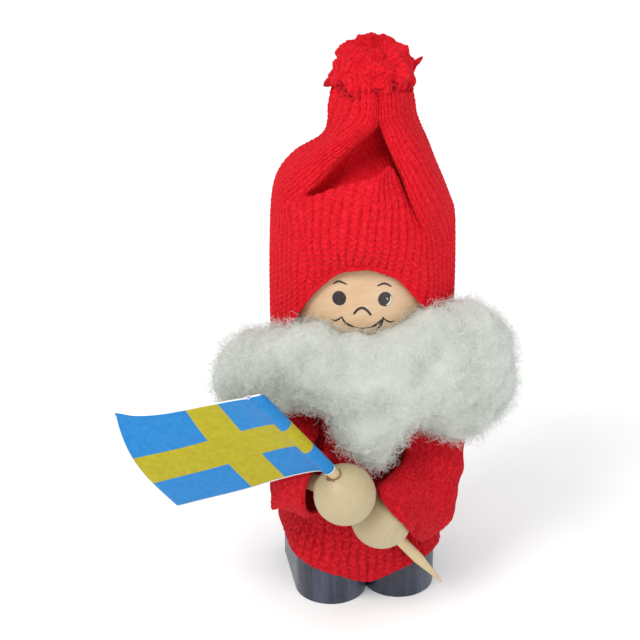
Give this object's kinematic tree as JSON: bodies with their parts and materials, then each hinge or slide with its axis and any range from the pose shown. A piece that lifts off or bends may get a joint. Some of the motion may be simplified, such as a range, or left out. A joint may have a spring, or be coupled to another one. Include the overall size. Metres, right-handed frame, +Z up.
{
  "type": "tomte gnome figurine",
  "caption": "Standing wooden gnome doll with a ribbed knitted hat and sweater, a fluffy wool beard and a toothpick flag that pulls out of its ball hands.",
  "frame": {"origin": "on the ground, under the figure's upright axis, on the foot block's underside", "axes": "+Z up along the figure's axis, the figure faces -Y, +X is the figure's left"},
  "size_m": [0.0766, 0.055, 0.1168],
  "materials": {
    "navy_paint": "satin navy paint over wood",
    "dowel_wood": "bare beech",
    "turned_wood": "bare turned birch",
    "head_wood": "turned birch with a thin skin-toned varnish and an inked face",
    "red_knit": "red rib-knitted wool",
    "red_thread": "red sewing thread",
    "white_wool": "loose combed white wool",
    "stick_wood": "bare birch toothpick",
    "flag_paper": "printed semi-gloss paper, blue with a yellow cross"
  },
  "bodies": {
    "doll": {"foot_block": "navy_paint", "foot_dowel": "dowel_wood", "body_core": "turned_wood", "neck_dowel": "dowel_wood", "head_ball": "head_wood", "sweater_body": "red_knit", "hand_peg_right": "dowel_wood", "hand_peg_left": "dowel_wood", "sleeve_right": "red_knit", "sleeve_left": "red_knit", "hand_ball_right": "turned_wood", "hand_ball_left": "turned_wood", "beard": "white_wool"},
    "hat": {"hat": "red_knit", "hat_tie_thread": "red_thread"},
    "flag": {"flag_stick": "stick_wood", "flag_paper": "flag_paper"}
  },
  "joints": [
    {"name": "hat_lift", "type": "slide", "parent": "doll", "child": "hat", "axis": [0, 0, 1], "range_m": [0, 0.04]},
    {"name": "flag_pull", "type": "slide", "parent": "doll", "child": "flag", "axis": [-0.4953, -0.3468, 0.7965], "range_m": [0, 0.046]}
  ]
}
